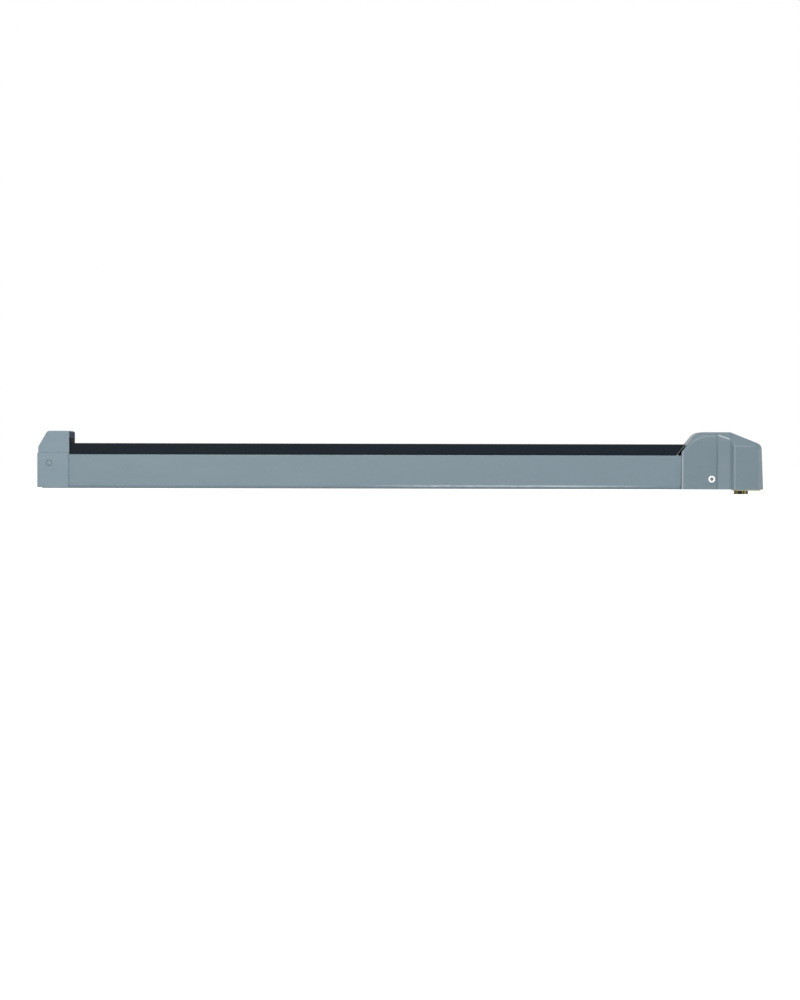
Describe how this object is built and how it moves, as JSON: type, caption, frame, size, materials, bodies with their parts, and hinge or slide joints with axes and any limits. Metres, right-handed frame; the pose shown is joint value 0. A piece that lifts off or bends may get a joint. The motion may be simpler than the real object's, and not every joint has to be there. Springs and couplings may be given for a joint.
{
  "type": "touch bar exit device",
  "caption": "Long push bar for an escape door: the bar slides into its channel rail and works cranks and a pull rod that turn a spindle hub in the lock case.",
  "frame": {"origin": "on the spindle hub's axis, in the plane of the rail's and the chassis's back, which lies on the door", "axes": "+X along the bar towards the lock case end, +Z out of the door towards the person who pushes the bar, +Y across the bar"},
  "size_m": [0.8509, 0.064, 0.0728],
  "materials": {
    "silver_paint": "silver-grey powder coat, satin",
    "charcoal_paint": "charcoal powder coat, satin",
    "painted_screw": "screw painted with the cap",
    "black_plastic": "moulded black plastic",
    "white_nylon": "natural nylon",
    "zinc_steel": "clear zinc plated",
    "yellow_zinc_steel": "yellow passivated zinc",
    "bright_screw": "bright zinc plated screw",
    "spring_steel": "spring steel wire",
    "dark_steel": "blackened steel",
    "cast_alloy": "as cast",
    "sintered_steel": "sintered steel, oiled",
    "brass": "turned brass"
  },
  "bodies": {
    "frame": {"rail": "silver_paint", "end_cap": "silver_paint", "end_cap_screws": "painted_screw", "end_cap_insert": "black_plastic", "end_bracket": "zinc_steel", "end_bracket_rivets": "zinc_steel", "left_crank_bracket": "zinc_steel", "right_crank_bracket": "zinc_steel", "crank_bracket_screws": "bright_screw", "left_pivot_pin": "bright_screw", "right_pivot_pin": "bright_screw", "pivot_clips": "dark_steel", "rod_saddle": "white_nylon", "left_return_spring": "spring_steel", "right_return_spring": "spring_steel", "chassis": "zinc_steel", "tongue_screws": "bright_screw", "hub_plate": "yellow_zinc_steel", "hub_plate_screws": "bright_screw", "slider_bridge": "zinc_steel", "bridge_screws": "bright_screw", "case_cover": "silver_paint", "cover_screws": "bright_screw", "cover_nuts": "zinc_steel", "nose_guide": "black_plastic"},
    "push_bar": {"push_bar": "charcoal_paint", "bar_end_plug": "black_plastic", "bar_tail_plug": "black_plastic", "left_carrier": "cast_alloy", "right_carrier": "cast_alloy", "carrier_set_screws": "dark_steel", "bar_glides": "white_nylon"},
    "left_crank": {"left_crank": "sintered_steel", "left_drive_pin": "bright_screw", "left_rod_pin": "bright_screw"},
    "right_crank": {"right_crank": "sintered_steel", "right_drive_pin": "bright_screw", "right_rod_pin": "bright_screw"},
    "pull_rod": {"near_pull_strap": "zinc_steel", "far_pull_strap": "zinc_steel", "drive_slider": "cast_alloy", "slider_rivets": "bright_screw", "spring_pins": "bright_screw"},
    "spindle_hub": {"spindle_hub": "brass", "hub_clip": "dark_steel", "hub_lever": "sintered_steel", "lever_pin": "bright_screw"}
  },
  "joints": [
    {"name": "bar_press", "type": "slide", "parent": "frame", "child": "push_bar", "axis": [0, 0, -1], "range_m": [0, 0.009], "stiffness_N_per_m": 3333, "springref_m": -0.009},
    {"name": "left_crank_turn", "type": "hinge", "parent": "frame", "child": "left_crank", "pos_m": [-0.67, 0, 0.025], "axis": [0, 1, 0], "range_deg": [0, 33.6]},
    {"name": "right_crank_turn", "type": "hinge", "parent": "frame", "child": "right_crank", "pos_m": [-0.19, 0, 0.025], "axis": [0, 1, 0], "range_deg": [0, 33.6]},
    {"name": "rod_pull", "type": "slide", "parent": "frame", "child": "pull_rod", "axis": [-1, 0, 0], "range_m": [0, 0.00867], "deforming": ["left_return_spring", "right_return_spring"]},
    {"name": "hub_turn", "type": "hinge", "parent": "frame", "child": "spindle_hub", "pos_m": [0, 0, 0], "axis": [0, 0, 1], "range_deg": [0, 38.95]}
  ],
  "couplings": [
    {"joint": "left_crank_turn", "follows": "bar_press", "rad_per_m": 65.127},
    {"joint": "right_crank_turn", "follows": "bar_press", "rad_per_m": 65.127},
    {"joint": "rod_pull", "follows": "bar_press", "ratio": 0.96297},
    {"joint": "hub_turn", "follows": "bar_press", "rad_per_m": 75.52}
  ]
}
